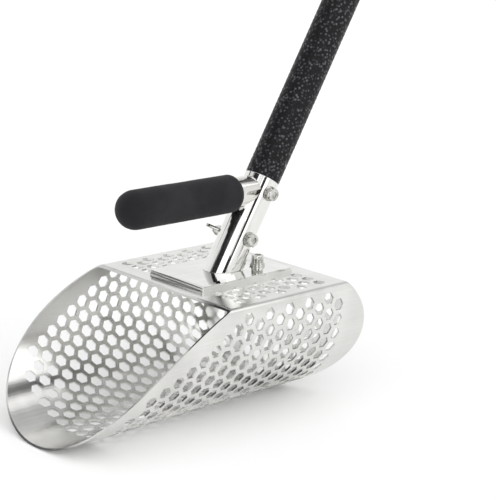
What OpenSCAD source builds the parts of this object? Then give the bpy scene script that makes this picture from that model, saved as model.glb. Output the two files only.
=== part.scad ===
// Long-handled beach sand scoop: a perforated basket under a flat top, a
// leaning socket with a forward grip, and a three-section pole.

/* [Basket] */
// Width of the flat top between its two bends
basket_w = 163; // [150:1:175]
// Depth from the flat top to the lowest line of the belly
basket_depth = 105; // [95:1:115]
// Sheet thickness
sheet_t = 1.5; // [1:0.1:2]
// Outer radius of the two bends beside the flat top
bend_r = 4; // [3:0.5:6]
// Radius of the mouth's curve, seen from the side
mouth_r = 242; // [220:1:260]
// Radius of the rear edge's curve, seen from the side
rear_r = 62; // [60:1:66]

/* [Holes] */
// Width across the flats of each hexagonal hole
hole_af = 9.4; // [7:0.1:10]
// Distance between neighbouring holes
hole_pitch = 13; // [12.5:0.1:14]
// Columns of holes along the belly
belly_cols = 19; // [12:1:19]

/* [Mounting plates] */
// Length of the lower plate
plate_l = 102; // [90:1:110]
// Width of the lower plate
plate_w = 65.4; // [58:0.2:70]
// Thickness of each plate
plate_t = 2; // [1.5:0.1:3]

/* [Socket and pole] */
// Backward lean of the pole from upright, in degrees
lean = 30.7; // [25:0.1:35]
// Outside diameter of the socket and of the sleeved pole
pole_d = 30; // [28:0.5:32]
// Length of the socket along its axis
socket_l = 83; // [75:1:95]
// Distance from the plate to the first joint of the pole
joint_1 = 353; // [300:1:400]
// Distance from the plate to the second joint of the pole
joint_2 = 717; // [640:1:760]
// Distance from the plate to the top of the pole's sleeve
pole_top = 1165; // [1000:1:1250]

/* [Grip] */
// Diameter of the foam grip
grip_d = 32; // [30:0.5:36]
// Length of the foam grip
grip_l = 121.5; // [110:0.5:130]

/* [Hidden] */
$fn = 96;
// The whole part is lifted so that the belly's lowest line is at z = 0, and
// shifted so that the origin is midway between the lip and the pole's top.
shift_x = 272.8;
hw = basket_w / 2;
belly_r = (basket_depth * basket_depth + hw * hw) / (2 * basket_depth);
belly_c = basket_depth - belly_r;
sec_w = sqrt(pow(belly_r - bend_r, 2) - pow(belly_c - bend_r, 2));
mouth_x = -80.2;
mouth_z = -228.3;
rear_x = -90;
rear_z = -48;
col_step = hole_pitch * sqrt(3) / 2;
front_col = 86;
top_row_x = -18.5;
plate_x = -12;
socket_x = -63.5;
plate_top = 2 * plate_t;
pole_r = pole_d / 2;
tube_r = 13.8;
socket_bore_r = 13.9;
tube_wall = 1.2;
spigot_r = 12.5;
spigot_bore_r = 11;
bolt_r = 3;
bolt_low = 29.7;
bolt_high = 71.7;
grip_s = 73;
grip_z = plate_top + grip_s * cos(lean);
grip_front = 47.5;
stub_r = 12.7;
dome_r = 19;
button_r = 3;
button_low = joint_1 + 22.5;
button_high = joint_2 + 29;
clear = 0.05;
plate_bolt_x = -93.5;
plate_bolt_y = 11;
screw_r = 3;
washer_t = 1.6;
stack_t = 2 * washer_t + 0.04;
back_lean = 12;

// Moves the part from its own drawing position to its place in the frame.
module place() { translate([shift_x, 0, basket_depth]) children(); }
// Stands children along the leaning axis of the socket and pole.
module on_pole(s = 0) {
  place() translate([socket_x, 0, plate_top]) rotate([0, -lean, 0])
    translate([0, 0, s]) children();
}
module tube(r, bore, h) {
  difference() { cylinder(r = r, h = h); translate([0, 0, -1]) cylinder(r = bore, h = h + 2); }
}
module hex(af, h) { cylinder(r = af / 2 / cos(30), h = h, $fn = 6); }

// Half of the bend's outline, from the flat top round to the belly, with r the
// bend's radius there; the last point runs on past the belly's circle.
bend_end = atan((belly_c - bend_r) / sec_w);
function bend_point(r, a) = [sec_w + r * cos(a), r * sin(a) - bend_r];
function bend(r) = let (steps = [for (i = [0 : 3]) bend_point(r, 90 - (90 - bend_end) * i / 3)])
  concat([for (i = [0 : 2]) steps[i]], [steps[2] + (steps[3] - steps[2]) * 12]);
// Outline of the basket's section, inset from the outside.
module section(inset) {
  half = bend(bend_r - inset);
  intersection() {
    translate([0, -belly_c]) circle(r = belly_r - inset);
    polygon(concat([for (p = half) p], [[100, -160], [-100, -160]],
      [for (i = [3 : -1 : 0]) [-half[i][0], half[i][1]]]));
  }
}
// The section drawn along X, from x0 to x1.
module along_x(x0, x1) {
  translate([x0, 0, 0]) rotate([90, 0, 90]) linear_extrude(height = x1 - x0) children();
}
// Highest place round the belly, in mm of sheet from its lowest line, that
// the holes of column j reach.
function reach(j) = j == 0 ? 71.5 : min(143, 84.5 + 6.5 * j);
module belly_holes() {
  for (j = [0 : belly_cols - 1]) {
    odd = j % 2;
    x = front_col - j * col_step;
    // keeps the last columns clear of the rounded rear edge at the bottom
    low = x < -104 ? 3 : 0;
    for (k = [low : 11]) {
      s = (k + (odd == 1 ? 0 : 0.5)) * hole_pitch;
      if (s <= reach(j) + 0.01)
        for (m = s == 0 ? [1] : [-1, 1])
          translate([x, 0, -belly_c]) rotate([m * s / belly_r * 180 / PI, 0, 0])
            translate([0, 0, -belly_r - 4]) hex(hole_af, 10);
    }
  }
}
module top_holes() {
  for (j = [0 : 8], m = [-1, 1], k = [0 : (j % 2 == 0 ? 2 : 1)])
    translate([top_row_x - j * col_step,
      m * (42.5 + hole_pitch * (k + (j % 2) / 2)), -5]) hex(hole_af, 10);
}
module basket_sheet() {
  color("silver") place() difference() {
    intersection() {
      difference() {
        along_x(-156, 136) section(0);
        along_x(-160, 140) section(sheet_t);
      }
      translate([mouth_x, 0, mouth_z]) rotate([90, 0, 0])
        cylinder(r = mouth_r, h = 260, center = true, $fn = 200);
      union() {
        translate([rear_x, 0, rear_z]) rotate([90, 0, 0])
          cylinder(r = rear_r, h = 260, center = true);
        translate([rear_x, -130, -200]) cube([300, 260, 260]);
      }
    }
    belly_holes();
    top_holes();
    plate_bolt_spots(-5) cylinder(r = screw_r + 0.3, h = 10);
  }
}
module plate_bolt_spots(z) {
  for (m = [-1, 1]) translate([plate_bolt_x, m * plate_bolt_y, z]) children();
}
module back_plate() {
  color("silver") place() difference() {
    intersection() {
      along_x(-150, -80) section(sheet_t + 0.1);
      translate([-126.5, -100, 0]) rotate([0, -back_lean, 0]) translate([0, 0, -130])
        cube([sheet_t, 200, 140]);
    }
    for (r = [0 : 7]) {
      d = 14 + r * col_step;
      z = -d * cos(back_lean);
      half = sqrt(max(0, pow(belly_r - 12, 2) - pow(z + belly_c, 2)));
      for (k = [-6 : 6]) {
        y = (k + (r % 2) / 2) * hole_pitch;
        if (abs(y) < half && z > 14 - basket_depth)
          translate([-126.5, 0, 0]) rotate([0, -back_lean, 0])
            translate([-4, y, -d]) rotate([0, 90, 0]) hex(hole_af, 10);
      }
    }
  }
}
module rounded_plate(l, w, t, r) {
  linear_extrude(height = t) union() {
    translate([-l + r, -w / 2]) square([l - 2 * r, w]);
    translate([-l, -w / 2 + r]) square([l, w - 2 * r]);
    for (x = [-r, -l + r], y = [-1, 1]) translate([x, y * (w / 2 - r)]) circle(r = r);
  }
}
module lower_mounting_plate() {
  color("gainsboro") place() difference() {
    translate([plate_x, 0, 0]) rounded_plate(plate_l, plate_w, plate_t, 1.5);
    plate_bolt_spots(-5) cylinder(r = screw_r + 0.3, h = 10);
  }
}
module upper_mounting_plate() {
  color("gainsboro") place() difference() {
    translate([plate_x - 0.5, 0, plate_t])
      rounded_plate(plate_l - 1, plate_w - 1, plate_t, 1.5);
    plate_bolt_spots(-5) cylinder(r = screw_r + 0.3, h = 12);
  }
}
// Cap screws, heads up on two washers, with their nuts inside the basket.
module plate_bolts() {
  color("silver") place() plate_bolt_spots(plate_top + stack_t) difference() {
    union() {
      cylinder(r = 5, h = 5.4);
      translate([0, 0, 5.4]) cylinder(r1 = 5, r2 = 4.5, h = 0.6);
      translate([0, 0, -plate_top - stack_t - sheet_t - 6.5])
        cylinder(r = screw_r, h = plate_top + stack_t + sheet_t + 7);
    }
    translate([0, 0, 2.8]) hex(5, 4);
  }
}
module plate_washers() {
  color("silver") place() plate_bolt_spots(plate_top) {
    tube(6.2, screw_r + 0.2, washer_t);
    translate([0, 0, washer_t + 0.02]) tube(5.4, screw_r + 0.2, washer_t);
  }
}
module plate_nuts() {
  color("silver") place() plate_bolt_spots(-sheet_t - 5) difference() {
    intersection() {
      hex(10, 5);
      cylinder(r1 = 5, r2 = 10, h = 5);
    }
    translate([0, 0, -1]) cylinder(r = screw_r + clear, h = 8);
  }
}
module cross_hole(s, r) {
  translate([0, 0, s]) rotate([90, 0, 0]) cylinder(r = r, h = 60, center = true);
}
module socket_tube() {
  color("whitesmoke") difference() {
    on_pole(-30) cylinder(r = pole_r, h = socket_l + 30);
    on_pole(-40) cylinder(r = socket_bore_r, h = socket_l + 60);
    place() translate([-300, -100, -100]) cube([600, 200, 100 + plate_top]);
    on_pole() { cross_hole(bolt_low, bolt_r + 0.1); cross_hole(bolt_high, bolt_r + 0.1); }
    // clamping slit, on the front right of the upper end
    on_pole(socket_l - 14) rotate([0, 0, 42]) translate([0, -1.1, 0]) cube([30, 2.2, 20]);
  }
}
module grip_stub() {
  color("gainsboro") difference() {
    place() translate([-100, 0, grip_z]) rotate([0, 90, 0]) tube(stub_r, stub_r - 1.5, 130);
    on_pole(-30) cylinder(r = pole_r + 0.03, h = 200);
    place() translate([-200, -50, grip_z - 50])
      cube([200 + socket_x - (grip_s * sin(lean)), 100, 100]);
  }
}
module foam_grip() {
  r = grip_d / 2;
  color("#2b2b2e") difference() {
    place() translate([grip_front - grip_l, 0, grip_z]) rotate([0, 90, 0])
      rotate_extrude() intersection() {
        union() {
          translate([-r, 6]) square([2 * r, grip_l - r - 6]);
          translate([-r + 6, 0]) square([2 * r - 12, 10]);
          translate([r - 6, 6]) circle(r = 6);
          translate([0, grip_l - r]) circle(r = r);
        }
        square([r + 1, grip_l + 1]);
      }
    place() translate([-140, 0, grip_z]) rotate([0, 90, 0]) cylinder(r = stub_r + clear, h = 171);
  }
}
module pole_tube(s0, s1) { on_pole(s0) tube(tube_r, tube_r - tube_wall, s1 - s0); }
module sleeve(s0, s1) { on_pole(s0) tube(pole_r, tube_r + 0.05, s1 - s0); }
module button_hole(s, r) { on_pole(s) rotate([-90, 0, 0]) cylinder(r = r, h = 30); }
module lower_pole_tube() {
  color("silver") difference() {
    pole_tube(10, joint_1 - 0.2);
    on_pole() { cross_hole(bolt_low, bolt_r + 0.1); cross_hole(bolt_high, bolt_r + 0.1); }
  }
}
module lower_pole_sleeve() { color("#1c1c20") sleeve(socket_l + 0.3, joint_1 - 0.3); }
module middle_pole_tube() {
  color("silver") difference() {
    pole_tube(joint_1 + 0.2, joint_2 - 0.2);
    button_hole(button_low, button_r + 0.1);
  }
}
module middle_pole_sleeve() {
  color("#1c1c20") difference() {
    sleeve(joint_1 + 0.3, joint_2 - 0.3);
    button_hole(button_low, button_r + 0.4);
  }
}
module upper_pole_tube() {
  color("silver") difference() {
    pole_tube(joint_2 + 0.2, pole_top);
    button_hole(button_high, button_r + 0.1);
  }
}
module upper_pole_sleeve() {
  color("#1c1c20") difference() {
    sleeve(joint_2 + 0.3, pole_top);
    button_hole(button_high, button_r + 0.4);
  }
}
module spigot(joint, button) {
  difference() {
    on_pole(joint - 60) tube(spigot_r, spigot_bore_r, 110);
    button_hole(button, button_r + 0.1);
  }
}
module lower_spigot() { color("silver") spigot(joint_1, button_low); }
module upper_spigot() { color("silver") spigot(joint_2, button_high); }
module end_cap() {
  color("#202024") difference() {
    union() {
      on_pole(pole_top + 0.1) cylinder(r = pole_r, h = 3.4);
      on_pole(pole_top + 3.5) intersection() {
        translate([0, 0, -sqrt(pow(dome_r, 2) - pow(pole_r, 2))]) sphere(r = dome_r);
        cylinder(r = pole_r, h = 10);
      }
      on_pole(pole_top - 18) cylinder(r = tube_r - tube_wall - 0.05, h = 18.5);
    }
    on_pole(pole_top - 19) cylinder(r = 10, h = 17);
  }
}
module bolt_spots() {
  for (s = [bolt_low, bolt_high]) on_pole(s) rotate([-90, 0, 0]) children();
}
module cross_bolts() {
  color("silver") bolt_spots() union() {
    translate([0, 0, -27]) cylinder(r1 = 2.4, r2 = bolt_r, h = 0.6);
    translate([0, 0, -26.4]) cylinder(r = bolt_r, h = 43);
    translate([0, 0, 16.4]) difference() {
      union() {
        cylinder(r = 5.9, h = 1);
        intersection() {
          hex(10, 4.6);
          cylinder(r1 = 9, r2 = 5, h = 4.6);
        }
      }
      translate([0, 0, 3.8]) cylinder(r = 2.6, h = 2);
    }
  }
}
module head_washers() {
  color("silver") bolt_spots() translate([0, 0, 15.1]) tube(6.3, bolt_r + 0.2, 1.2);
}
module nut_washers() {
  color("silver") bolt_spots() translate([0, 0, -16.3]) tube(6.3, bolt_r + 0.2, 1.2);
}
// Wing nut on a cross bolt: a tapered hub with two raised ears.
module wing_nut(s) {
  color("silver") on_pole(s) rotate([90, 0, 0]) translate([0, 0, 16.5])
    difference() {
      union() {
        cylinder(r1 = 5.6, r2 = 4.4, h = 7);
        for (m = [0, 180]) rotate([0, 0, m]) translate([0, 1.1, 0]) rotate([90, 0, 0])
          linear_extrude(height = 2.2) union() {
            polygon([[2, 0.6], [5.4, 0.6], [10.6, 5.6], [7, 10.4], [2, 6.4]]);
            translate([8.8, 8.4]) circle(r = 3.4);
          }
      }
      translate([0, 0, -1]) cylinder(r = bolt_r + clear, h = 12);
    }
}
module wing_nut_low() { wing_nut(bolt_low); }
module wing_nut_high() { wing_nut(bolt_high); }
// Spring button: a domed pin with a collar inside the spigot.
module snap_button(s) {
  color("gainsboro") on_pole(s) rotate([-90, 0, 0]) union() {
    translate([0, 0, 8.4]) cylinder(r = 4.4, h = 1.2);
    translate([0, 0, 9]) cylinder(r = button_r, h = 8.6);
    translate([0, 0, 17.6]) intersection() {
      sphere(r = button_r);
      cylinder(r = 5, h = 2.4);
    }
  }
}
module snap_button_low() { snap_button(button_low); }
module snap_button_high() { snap_button(button_high); }

basket_sheet();
back_plate();
lower_mounting_plate();
upper_mounting_plate();
plate_bolts();
plate_washers();
plate_nuts();
socket_tube();
grip_stub();
foam_grip();
lower_pole_tube();
lower_pole_sleeve();
middle_pole_tube();
middle_pole_sleeve();
upper_pole_tube();
upper_pole_sleeve();
lower_spigot();
upper_spigot();
end_cap();
cross_bolts();
head_washers();
nut_washers();
wing_nut_low();
wing_nut_high();
snap_button_low();
snap_button_high();
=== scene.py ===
"""Long-handled beach sand scoop: finishes, embossed sleeves, foam grip, bolt threads, floor and light."""
import math

import bmesh
import bpy
from mathutils import Matrix, Vector, noise


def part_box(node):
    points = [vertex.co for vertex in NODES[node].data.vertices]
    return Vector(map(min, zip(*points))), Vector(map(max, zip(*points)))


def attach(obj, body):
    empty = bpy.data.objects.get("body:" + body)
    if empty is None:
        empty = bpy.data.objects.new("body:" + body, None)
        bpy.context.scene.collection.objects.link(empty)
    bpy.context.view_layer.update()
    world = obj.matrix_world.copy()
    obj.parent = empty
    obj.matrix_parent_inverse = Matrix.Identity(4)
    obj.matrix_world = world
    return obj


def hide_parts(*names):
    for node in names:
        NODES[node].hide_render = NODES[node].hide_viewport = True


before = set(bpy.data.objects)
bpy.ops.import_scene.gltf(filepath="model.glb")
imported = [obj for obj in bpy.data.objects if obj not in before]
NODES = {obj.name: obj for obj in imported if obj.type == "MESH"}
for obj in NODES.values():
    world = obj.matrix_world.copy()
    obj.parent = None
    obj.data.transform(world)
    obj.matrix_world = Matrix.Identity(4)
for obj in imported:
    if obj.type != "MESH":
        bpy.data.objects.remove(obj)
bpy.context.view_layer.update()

# ---------------------------------------------------------------- sizes, in metres
LEAN = math.radians(30.7)
AXIS = Vector((-math.sin(LEAN), 0, math.cos(LEAN)))
SOCKET_FOOT = Vector((0.2093, 0, 0.109))
POLE_R = 0.015
SOCKET_END = 0.083
JOINTS = (0.353, 0.717)
POLE_TOP = 1.165
BUTTONS = (JOINTS[0] + 0.0225, JOINTS[1] + 0.029)
BOLTS = (0.0297, 0.0717)
SLEEVE_BORE_R = 0.01386
BASKET_W, BASKET_DEPTH = 0.163, 0.105
SHEET_T = 0.0015
BELLY_R = (BASKET_DEPTH ** 2 + (BASKET_W / 2) ** 2) / (2 * BASKET_DEPTH)
BELLY_Z = BELLY_R
BEND_R = 0.004
BEND_Z = BASKET_DEPTH - BEND_R
BEND_Y = math.sqrt((BELLY_R - BEND_R) ** 2 - (BEND_Z - BELLY_Z) ** 2)


def on_axis(s, y=0.0):
    """The point at distance s up the leaning axis, y to its side."""
    return SOCKET_FOOT + AXIS * s + Vector((0, y, 0))


def heading(turn, rise):
    """The direction at turn degrees round from +X and rise degrees up."""
    turn, rise = math.radians(turn), math.radians(rise)
    return Vector((math.cos(rise) * math.cos(turn), math.cos(rise) * math.sin(turn), math.sin(rise)))


# ---------------------------------------------------------------- camera
CAMERA_AT = Vector((1.0182, 0.8534, 0.4356))
CAMERA_TURN, CAMERA_RISE, CAMERA_ROLL = 45.236, 14.583, 2.311
LENS_MM, SENSOR_MM = 106.563, 36
LENS_SHIFT = (-0.01452, -0.00948)


def add_camera():
    """A long lens ahead of the mouth and to one side, slightly rolled."""
    out = heading(CAMERA_TURN, CAMERA_RISE)
    roll = math.radians(CAMERA_ROLL)
    right = (-out).cross(Vector((0, 0, 1))).normalized()
    up = right.cross(-out)
    side = right * math.cos(roll) + up * math.sin(roll)
    top = up * math.cos(roll) - right * math.sin(roll)
    cam = bpy.data.cameras.new("camera")
    cam.sensor_fit = "HORIZONTAL"
    cam.sensor_width = SENSOR_MM
    cam.lens = LENS_MM
    cam.shift_x, cam.shift_y = LENS_SHIFT
    cam.clip_end = 50
    obj = bpy.data.objects.new("camera", cam)
    m = Matrix((side, top, out)).transposed().to_4x4()
    m.translation = CAMERA_AT
    obj.matrix_world = m
    bpy.context.collection.objects.link(obj)
    bpy.context.scene.camera = obj


add_camera()


# ---------------------------------------------------------------- material tools
class Sock:
    """A node's output that takes part in arithmetic."""

    def __init__(self, finish, socket):
        self.finish, self.socket = finish, socket

    def _math(self, op, a, b):
        return self.finish.add("ShaderNodeMath", {"operation": op}, {0: a, 1: b})

    def __add__(self, other):
        return self._math("ADD", self, other)

    def __radd__(self, other):
        return self._math("ADD", other, self)

    def __sub__(self, other):
        return self._math("SUBTRACT", self, other)

    def __rsub__(self, other):
        return self._math("SUBTRACT", other, self)

    def __mul__(self, other):
        return self._math("MULTIPLY", self, other)


class Finish:
    """A node tree under construction, for a surface or for the sky."""

    def __init__(self, name, tree=None):
        if tree is None:
            self.material = bpy.data.materials.new(name)
            self.material.use_nodes = True
            tree = self.material.node_tree
        self.tree = tree
        tree.nodes.clear()

    def add(self, kind, settings=None, sockets=None, give=0):
        """A node of that kind, with settings made first and then its sockets filled; gives one output."""
        node = self.tree.nodes.new(kind)
        for key, value in (settings or {}).items():
            setattr(node, key, value)
        for key, value in (sockets or {}).items():
            if isinstance(value, Sock):
                self.tree.links.new(value.socket, node.inputs[key])
            else:
                node.inputs[key].default_value = value
        return Sock(self, node.outputs[give]) if len(node.outputs) else node

    def place(self, scale=(1, 1, 1), turn=(0, 0, 0)):
        """The object's own coordinates, turned and then stretched."""
        coords = self.add("ShaderNodeTexCoord", give="Object")
        return self.add("ShaderNodeMapping", {}, {"Vector": coords, "Scale": scale, "Rotation": turn})

    def speckle(self, where, scale, detail=3.0, rough=0.5):
        return self.add("ShaderNodeTexNoise", {},
                        {"Vector": where, "Scale": scale, "Detail": detail, "Roughness": rough})

    def span(self, value, lo, hi, to_lo, to_hi):
        return self.add("ShaderNodeMapRange", {}, {0: value, 1: lo, 2: hi, 3: to_lo, 4: to_hi})

    def blend(self, share, a, b):
        return self.add("ShaderNodeMix", {"data_type": "RGBA"}, {0: share, 6: a, 7: b}, give=2)

    def surface(self, **sockets):
        """Closes the tree with a Principled shader and gives the material."""
        sockets = {key.replace("_", " "): value for key, value in sockets.items()}
        shader = self.add("ShaderNodeBsdfPrincipled", {}, sockets)
        self.add("ShaderNodeOutputMaterial", {}, {"Surface": shader})
        return self.material

    def relief(self, height, depth, strength=1.0):
        return self.add("ShaderNodeBump", {}, {"Height": height, "Distance": depth, "Strength": strength})


def rolled_steel(name, tone, gloss, grain, turn=(0, 0, 0), scuff=0.5):
    """Stainless sheet with a rolled grain along X, faint clouds and fine scratches."""
    f = Finish(name)
    grainy = f.speckle(f.place((14, 620, 620), turn), 1.0, 4, 0.6)
    cloud = f.speckle(f.place(), 22, 3)
    smear = f.speckle(f.place((60, 9, 9), turn), 1.0, 2)
    dark = tuple(c * 0.86 for c in tone)
    base = f.blend(f.span(cloud * 0.6 + smear * 0.4, 0.35, 0.65, 0, 1), (*dark, 1), (*tone, 1))
    base = f.blend(f.span(grainy, 0.45, 0.7, 0, 0.22), base, (0.94, 0.94, 0.93, 1))
    rough = gloss + (cloud - 0.5) * 0.12 * scuff + (grainy - 0.5) * 0.16 * scuff
    return f.surface(Base_Color=base, Metallic=1.0, Roughness=rough,
                     Normal=f.relief(grainy, 0.00004 * grain, 0.6))


def polished_steel(name, tone=(0.76, 0.755, 0.73)):
    """Mirror-polished tube with the faint swirl that a buffing wheel leaves."""
    f = Finish(name)
    swirl = f.speckle(f.place((260, 260, 40)), 1.0, 2)
    haze = f.speckle(f.place(), 60, 2)
    base = f.blend(f.span(haze, 0.3, 0.7, 0, 1), (*tone, 1), (0.83, 0.825, 0.805, 1))
    return f.surface(Base_Color=base, Metallic=1.0, Roughness=0.045 + haze * 0.03,
                     Normal=f.relief(swirl, 0.000008, 0.35))


def hardware_steel(name, tone=(0.68, 0.68, 0.655), hollow=(0.34, 0.3332, 0.3013)):
    """Bright fasteners with small dings and darker stains."""
    f = Finish(name)
    dings = f.speckle(f.place(), 900, 3)
    stain = f.speckle(f.place(), 240, 2)
    base = f.blend(f.span(stain, 0.35, 0.62, 0, 1), (*hollow, 1), (*tone, 1))
    return f.surface(Base_Color=base, Metallic=1.0, Roughness=0.07 + stain * 0.14,
                     Normal=f.relief(dings, 0.00006, 0.5))


def drawn_tube(name):
    """Plain tube with fine lines drawn along it."""
    f = Finish(name)
    lines = f.speckle(f.place((500, 500, 12), (0, -LEAN, 0)), 1.0, 3)
    base = f.blend(lines, (0.58, 0.58, 0.6, 1), (0.74, 0.74, 0.76, 1))
    return f.surface(Base_Color=base, Metallic=1.0, Roughness=0.3 + lines * 0.15,
                     Normal=f.relief(lines, 0.00002))


def shrink_sleeve(name):
    """Black shrink film drawn tight over a coarse weave: glossy threads, dull hollows, and knots painted
    paler as a painted highlight.
    """
    f = Finish(name)
    knots = f.add("ShaderNodeTexVoronoi", {"feature": "F1"},
                  {"Vector": f.place(), "Scale": 370, "Randomness": 0.9})
    patchy = f.speckle(f.place(), 210, 3, 0.6)
    fine = f.speckle(f.place(), 900, 2)
    # dot marks the raised knots: they carry the glossy coat and, in the base colour below, a paler painted
    # highlight
    dot = f.span(knots, 0.12, 0.48, 1, 0) * f.span(patchy, 0.38, 0.56, 0, 1)
    # painted highlight: the knots' base colour is paler than the near-black film between them
    base = f.blend(dot, (0.002, 0.002, 0.003, 1), (0.075, 0.075, 0.088, 1))
    base = f.blend(f.span(fine, 0.55, 0.75, 0, 0.4), base, (0.03, 0.03, 0.036, 1))
    return f.surface(Base_Color=base, Roughness=0.5 - dot * 0.32, Specular_IOR_Level=0.22, Coat_Weight=dot,
                     Coat_Roughness=0.1, Normal=f.relief(dot + fine * 0.3, 0.0005, 0.8))


def closed_foam(name):
    """Charcoal closed-cell foam: a skin of tiny pores, paler where it is rubbed."""
    f = Finish(name)
    pores = f.add("ShaderNodeTexVoronoi", {"feature": "F1"}, {"Vector": f.place(), "Scale": 1100})
    grain = f.speckle(f.place(), 700, 4, 0.65)
    rub = f.speckle(f.place(), 34, 3)
    base = f.blend(f.span(rub, 0.38, 0.66, 0, 1), (0.011, 0.0105, 0.0125, 1), (0.02, 0.0193, 0.0222, 1))
    base = f.blend(f.span(grain, 0.55, 0.75, 0, 0.35), base, (0.036, 0.035, 0.039, 1))
    height = grain * 0.6 + pores * 0.5
    return f.surface(Base_Color=base, Roughness=f.span(grain, 0.3, 0.7, 0.72, 0.9), Sheen_Weight=0.06,
                     Sheen_Roughness=0.5, Specular_IOR_Level=0.2, Normal=f.relief(height, 0.00025, 0.7))


def moulded_rubber(name):
    """Dull black rubber with a fine moulded grain."""
    f = Finish(name)
    fine = f.speckle(f.place(), 800, 3)
    base = f.blend(fine, (0.012, 0.012, 0.013, 1), (0.03, 0.03, 0.032, 1))
    return f.surface(Base_Color=base, Roughness=0.5 + fine * 0.25, Normal=f.relief(fine, 0.0001))


BASKET = rolled_steel("satin sheet", (0.77, 0.765, 0.745), 0.17, 1.0)
REAR = rolled_steel("satin rear plate", (0.8, 0.8, 0.785), 0.24, 1.0, (0, 0, math.pi / 2))
PLATE = rolled_steel("bright plate", (0.82, 0.82, 0.805), 0.06, 0.3, (0, 0, math.pi / 2), 0.3)
POLISHED = polished_steel("mirror tube")
STUB = polished_steel("bright stub tube", (0.7, 0.69, 0.65))
HARDWARE = hardware_steel("bright fasteners")
TUBE = drawn_tube("drawn tube")
SLEEVE = shrink_sleeve("shrink sleeve")
FOAM = closed_foam("closed foam")
RUBBER = moulded_rubber("cap rubber")


# ---------------------------------------------------------------- mesh tools
def wear(obj, material):
    """Gives an object one material in place of any it has."""
    obj.data.materials.clear()
    obj.data.materials.append(material)


def finish_mesh(bm, name, material, body="scoop", node=None, sharp=35):
    """Makes a bmesh into a piece that rides on a body, and stands for a CAD node if one is named."""
    mesh = bpy.data.meshes.new(name)
    bm.to_mesh(mesh)
    bm.free()
    for p in mesh.polygons:
        p.use_smooth = True
    mesh.set_sharp_from_angle(angle=math.radians(sharp))
    obj = bpy.data.objects.new(name, mesh)
    bpy.context.collection.objects.link(obj)
    wear(obj, material)
    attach(obj, body)
    if node:
        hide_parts(node)
    return obj


def dressed(node, name, material, body="scoop", edge=0.0003, sharp=35):
    """A merged copy of a CAD node with its edges broken, which stands for that node."""
    bm = bmesh.new()
    bm.from_mesh(NODES[node].data)
    bmesh.ops.remove_doubles(bm, verts=bm.verts, dist=0.000004)
    obj = finish_mesh(bm, name, material, body, node, sharp)
    if edge:
        mod = obj.modifiers.new("broken edges", "BEVEL")
        mod.width = edge
        mod.segments = 2
        mod.limit_method = "ANGLE"
        mod.angle_limit = math.radians(40)
        mod.harden_normals = True
    return obj


def ring_of(profile, centre, axis, turns, closed=False):
    """Spins a profile of (radius, height) points about an axis through centre."""
    bm = bmesh.new()
    side = axis.orthogonal().normalized()
    verts = [bm.verts.new(centre + side * r + axis * h) for r, h in profile]
    edges = [bm.edges.new(pair) for pair in zip(verts, verts[1:])]
    if closed:
        edges.append(bm.edges.new((verts[-1], verts[0])))
    bmesh.ops.spin(bm, geom=verts + edges, cent=centre, axis=axis, angle=math.tau, steps=turns,
                   use_merge=True, use_normal_flip=False, use_duplicate=False)
    bmesh.ops.remove_doubles(bm, verts=bm.verts, dist=0.000002)
    bmesh.ops.recalc_face_normals(bm, faces=bm.faces)
    return bm


# ---------------------------------------------------------------- basket
BEND_SLACK, BELLY_SLACK = 0.00025, 0.00006


def skin_normal(c):
    """Which way the bent sheet's skin faces at a corner, by where that corner lies across it."""
    y, z = abs(c.y), c.z
    side = math.copysign(1.0, c.y)
    r = math.hypot(y, z - BELLY_Z)
    bend = math.hypot(y - BEND_Y, z - BEND_Z)
    for depth, way in ((0.0, 1.0), (SHEET_T, -1.0)):
        if y > BEND_Y and z > BEND_Z - BEND_R and abs(bend - (BEND_R - depth)) < BEND_SLACK:
            return Vector((0, side * (y - BEND_Y), z - BEND_Z)).normalized() * way
        if abs(r - (BELLY_R - depth)) < BELLY_SLACK:
            return Vector((0, c.y, z - BELLY_Z)).normalized() * way
    return None


def basket():
    """The bent sheet, with true round normals on its belly and bends so that it mirrors smoothly."""
    obj = dressed("basket_sheet", "basket_shell", BASKET, edge=0, sharp=30)
    mesh = obj.data
    normals = []
    for p in mesh.polygons:
        for v in p.vertices:
            n = skin_normal(mesh.vertices[v].co)
            normals.append(n if n is not None and n.dot(p.normal) > 0.8 else p.normal.copy())
    mesh.normals_split_custom_set(normals)


basket()
dressed("back_plate", "rear_plate", REAR, edge=0)
dressed("lower_mounting_plate", "lower_plate", PLATE, edge=0.0004)
dressed("upper_mounting_plate", "upper_plate", PLATE, edge=0.0004)
dressed("socket_tube", "socket", POLISHED, edge=0.0003)
dressed("grip_stub", "stub", STUB, edge=0.0002)
dressed("plate_bolts", "cap_screws", HARDWARE)
dressed("plate_washers", "screw_washers", HARDWARE, edge=0.0002)
dressed("plate_nuts", "screw_nuts", HARDWARE, edge=0.0004)
dressed("cross_bolts", "socket_bolts", HARDWARE, edge=0.0003)
dressed("head_washers", "washers_at_heads", HARDWARE, edge=0.0002)
dressed("nut_washers", "washers_at_nuts", HARDWARE, edge=0.0002)
for end in ("low", "high"):
    dressed(f"wing_nut_{end}", f"winged_nut_{end}", HARDWARE, f"wing_nut_{end}", edge=0.0007)
    dressed(f"snap_button_{end}", f"push_button_{end}", HARDWARE, f"snap_button_{end}",
            edge=0.0002)
for node in ("lower_pole_tube", "middle_pole_tube", "upper_pole_tube", "lower_spigot", "upper_spigot"):
    wear(NODES[node], TUBE)


# ---------------------------------------------------------------- bolt threads
THREAD_ROOT, THREAD_CREST, THREAD_PITCH, THREAD_L = 0.00300, 0.00322, 0.001, 0.0028
THREAD_START = -0.0265


def thread(name, centre, axis, root, crest, length, pitch):
    """Ridges of a bolt's thread, standing just proud of its plain shank."""
    profile = [(root, 0.0)]
    for i in range(int(length / pitch)):
        profile += [(root, i * pitch + 0.1 * pitch), (crest, (i + 0.5) * pitch), (root, (i + 0.9) * pitch)]
    profile += [(root, length), (root - 0.0004, length), (root - 0.0004, 0.0)]
    bm = ring_of(profile, centre, axis, 28, closed=True)
    finish_mesh(bm, name, HARDWARE, sharp=25)


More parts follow.
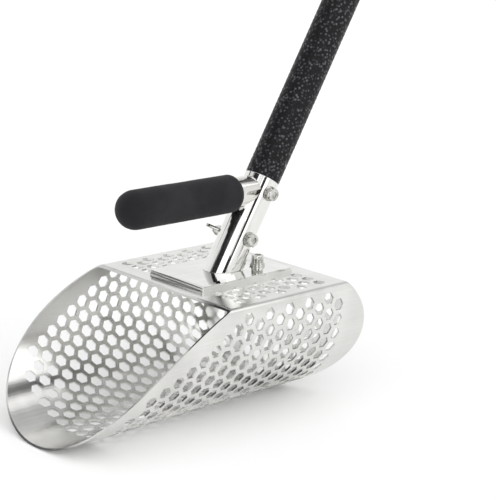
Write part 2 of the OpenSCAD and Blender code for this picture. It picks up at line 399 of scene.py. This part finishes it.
for i, s in enumerate(BOLTS):
    thread(f"bolt_thread_{i + 1}", on_axis(s, THREAD_START), Vector((0, 1, 0)),
           THREAD_ROOT, THREAD_CREST, THREAD_L, THREAD_PITCH)


# ---------------------------------------------------------------- foam grip
FOAM_BORE_R, FOAM_EDGE_R = 0.01275, 0.006


def foam_grip():
    """A spun foam sleeve with a domed nose and a soft rear edge, its skin very slightly uneven."""
    lo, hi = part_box("foam_grip")
    r = (hi.y - lo.y) / 2
    length = hi.x - lo.x
    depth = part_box("grip_stub")[1].x + 0.001 - lo.x
    path = []
    for i in range(15):
        a = math.pi / 2 * i / 14
        path.append((r * math.sin(a), length - r + r * math.cos(a)))
    steps = 26
    path += [(r, length - r - (length - r - FOAM_EDGE_R) * i / steps) for i in range(1, steps)]
    for i in range(9):
        a = math.pi / 2 * i / 8
        path.append((r - FOAM_EDGE_R + FOAM_EDGE_R * math.cos(a), FOAM_EDGE_R - FOAM_EDGE_R * math.sin(a)))
    path += [(FOAM_BORE_R, 0.0), (FOAM_BORE_R, depth), (0.0, depth)]
    bm = ring_of(path, Vector((lo.x, 0, (lo.z + hi.z) / 2)), Vector((1, 0, 0)), 72)
    centre = (lo.z + hi.z) / 2
    for v in bm.verts:
        away = math.hypot(v.co.y, v.co.z - centre)
        if away > FOAM_BORE_R + 0.001:
            dent = noise.noise(v.co * 55) * 0.00016 + noise.noise(v.co * 210) * 0.00006 - 0.00018
            out = Vector((0, v.co.y, v.co.z - centre)) / away
            v.co += out * dent
    grip = finish_mesh(bm, "foam_sleeve", FOAM, node="foam_grip", sharp=60)


foam_grip()


# ---------------------------------------------------------------- embossed sleeves
WEAVE_ROW, WEAVE_ROUND = 0.0047, 20
RING_GAP, RINGS_ROUND = 0.00115, 120
RELIEF, END_DROP, END_EASE = 0.00042, 0.00035, 0.003
HOLE_R, HOLE_LIP, HOLE_REACH = 0.0036, 0.001, 0.0135


def emboss(s, a):
    """Depth of the woven relief at distance s along the pole and angle a round it, from 0 to 1."""
    turn = a / math.tau
    rows = s / WEAVE_ROW
    u = (rows + turn * WEAVE_ROUND) % 1.0
    v = (rows - turn * WEAVE_ROUND) % 1.0
    cross = min(min(u, 1 - u), min(v, 1 - v)) * 2
    twice = turn * 2 * WEAVE_ROUND
    stitch = 0.5 + 0.5 * math.cos(math.tau * (rows * 2 + twice)) * math.cos(math.tau * twice)
    return 0.7 * (1 - min(1.0, cross * 2.6)) + 0.3 * stitch


def sleeve(name, node, s0, s1, button=None):
    """An embossed sleeve from s0 to s1 up the pole, pierced where a button comes through it."""
    rings = int((s1 - s0) / RING_GAP)
    step = (s1 - s0) / rings
    face = [(POLE_R, i * step) for i in range(rings + 1)]
    profile = [(SLEEVE_BORE_R, 0.0)] + face + [(SLEEVE_BORE_R, s1 - s0)]
    foot = on_axis(s0)
    bm = ring_of(profile, foot, AXIS, RINGS_ROUND, closed=True)
    ahead = Vector((math.cos(LEAN), 0, math.sin(LEAN)))
    for v in bm.verts:
        rel = v.co - foot
        s = rel.dot(AXIS)
        flat = rel - AXIS * s
        away = flat.length
        if away < SLEEVE_BORE_R + 0.0004:
            continue
        a = math.atan2(flat.y, flat.dot(ahead))
        end = min(s, s1 - s0 - s)
        ease = min(1.0, end / END_EASE)
        dip = RELIEF * emboss(s0 + s, a) * ease + END_DROP * (1 - ease) ** 2
        v.co -= flat / away * dip
    if button is not None:
        here = on_axis(button, POLE_R)
        gone = [f for f in bm.faces if (f.calc_center_median() - here).length < HOLE_R
                and abs(f.calc_center_median().y) > HOLE_REACH]
        bmesh.ops.delete(bm, geom=gone, context="FACES")
        rim = [e for e in bm.edges if e.is_boundary]
        lip = bmesh.ops.extrude_edge_only(bm, edges=rim)["geom"]
        lip_verts = [g for g in lip if isinstance(g, bmesh.types.BMVert)]
        bmesh.ops.translate(bm, verts=lip_verts, vec=(0, -HOLE_LIP, 0))
    finish_mesh(bm, name, SLEEVE, node=node, sharp=75)


sleeve("sleeve_lower", "lower_pole_sleeve", SOCKET_END + 0.0003, JOINTS[0] - 0.0003)
sleeve("sleeve_middle", "middle_pole_sleeve", JOINTS[0] + 0.0003, JOINTS[1] - 0.0003, BUTTONS[0])
sleeve("sleeve_upper", "upper_pole_sleeve", JOINTS[1] + 0.0003, POLE_TOP, BUTTONS[1])
dressed("end_cap", "pole_cap", RUBBER, edge=0.0004, sharp=50)


# ---------------------------------------------------------------- floor and light
CARD_DISTANCE = 3


def floor():
    """A wide pale floor, just below the lowest point so that the two never share a face."""
    bm = bmesh.new()
    bmesh.ops.create_grid(bm, x_segments=2, y_segments=2, size=6)
    mesh = bpy.data.meshes.new("floor")
    bm.to_mesh(mesh)
    bm.free()
    obj = bpy.data.objects.new("floor", mesh)
    obj.location.z = -0.0004
    bpy.context.collection.objects.link(obj)
    f = Finish("pale floor")
    tone = f.speckle(f.place(), 3, 2)
    pale = f.blend(tone, (0.93, 0.93, 0.925, 1), (0.95, 0.95, 0.945, 1))
    wear(obj, f.surface(Base_Color=pale, Roughness=0.7, Specular_IOR_Level=0.2))


def sky():
    """A studio with white walls and a dimmer ceiling."""
    world = bpy.data.worlds.new("studio")
    bpy.context.scene.world = world
    world.use_nodes = True
    f = Finish("studio", world.node_tree)
    way = f.add("ShaderNodeTexCoord", give="Generated")
    height = f.add("ShaderNodeSeparateXYZ", {}, {0: way}, give="Z")
    tone = f.blend(f.span(height, 0.42, 0.85, 0, 1), (1.0, 1.0, 1.0, 1), (0.5, 0.5, 0.51, 1))
    back = f.add("ShaderNodeBackground", {}, {"Color": tone, "Strength": 1.0})
    f.add("ShaderNodeOutputWorld", {}, {"Surface": back})


def dark_cards(*spans):
    """Dark studio cards round the scoop, seen only in what reflects them: (start, end, low, high) each."""
    f = Finish("dark card")
    tone = f.speckle(f.place(), 4, 2)
    dark = f.blend(tone, (0.008, 0.008, 0.01, 1), (0.014, 0.014, 0.017, 1))
    paint = f.surface(Base_Color=dark, Roughness=0.9)
    for i, (start, end, low, high) in enumerate(spans):
        bm = bmesh.new()
        bmesh.ops.create_grid(bm, x_segments=2, y_segments=2, size=0.5)
        wide = 2 * CARD_DISTANCE * math.tan(math.radians((end - start) / 2))
        bmesh.ops.scale(bm, verts=bm.verts, vec=(wide, high - low, 1))
        bmesh.ops.rotate(bm, verts=bm.verts, matrix=Matrix.Rotation(math.pi / 2, 3, "X"))
        bmesh.ops.rotate(bm, verts=bm.verts, matrix=Matrix.Rotation(math.pi / 2, 3, "Z"))
        bmesh.ops.translate(bm, verts=bm.verts, vec=(CARD_DISTANCE, 0, (high + low) / 2))
        middle = math.radians((start + end) / 2)
        bmesh.ops.rotate(bm, verts=bm.verts, matrix=Matrix.Rotation(middle, 3, "Z"))
        mesh = bpy.data.meshes.new(f"dark_card_{i + 1}")
        bm.to_mesh(mesh)
        bm.free()
        obj = bpy.data.objects.new(mesh.name, mesh)
        bpy.context.collection.objects.link(obj)
        wear(obj, paint)
        obj.visible_camera = obj.visible_shadow = obj.visible_diffuse = False


def soft_sun(turn, rise, spread, power):
    """The key light: a sun spread so wide that its shadows are soft."""
    light = bpy.data.lights.new("key", "SUN")
    light.energy = power
    light.angle = math.radians(spread)
    obj = bpy.data.objects.new("key", light)
    obj.matrix_world = heading(turn, rise).to_track_quat("Z", "Y").to_matrix().to_4x4()
    bpy.context.collection.objects.link(obj)


def soft_light(name, at, towards, size, power):
    """A rectangular light facing a point, hidden from the camera."""
    light = bpy.data.lights.new(name, "AREA")
    light.shape = "RECTANGLE"
    light.size, light.size_y = size
    light.energy = power
    obj = bpy.data.objects.new(name, light)
    place = (Vector(towards) - Vector(at)).to_track_quat("-Z", "Y").to_matrix().to_4x4()
    place.translation = Vector(at)
    obj.matrix_world = place
    obj.visible_camera = False
    bpy.context.collection.objects.link(obj)


floor()
sky()
dark_cards((-19, 24, 0.9, 3.8), (60, 78, 0.6, 2.5), (-58, -53, 1.5, 2.6), (-62, -26, 0.6, 1.1))
soft_sun(turn=78, rise=58, spread=100, power=1.55)
soft_light("strip", at=(0.75, 2.3, 1.9), towards=(0, 0, 0.7), size=(0.5, 1.4), power=2.2)
bpy.context.scene.view_settings.view_transform = "Standard"
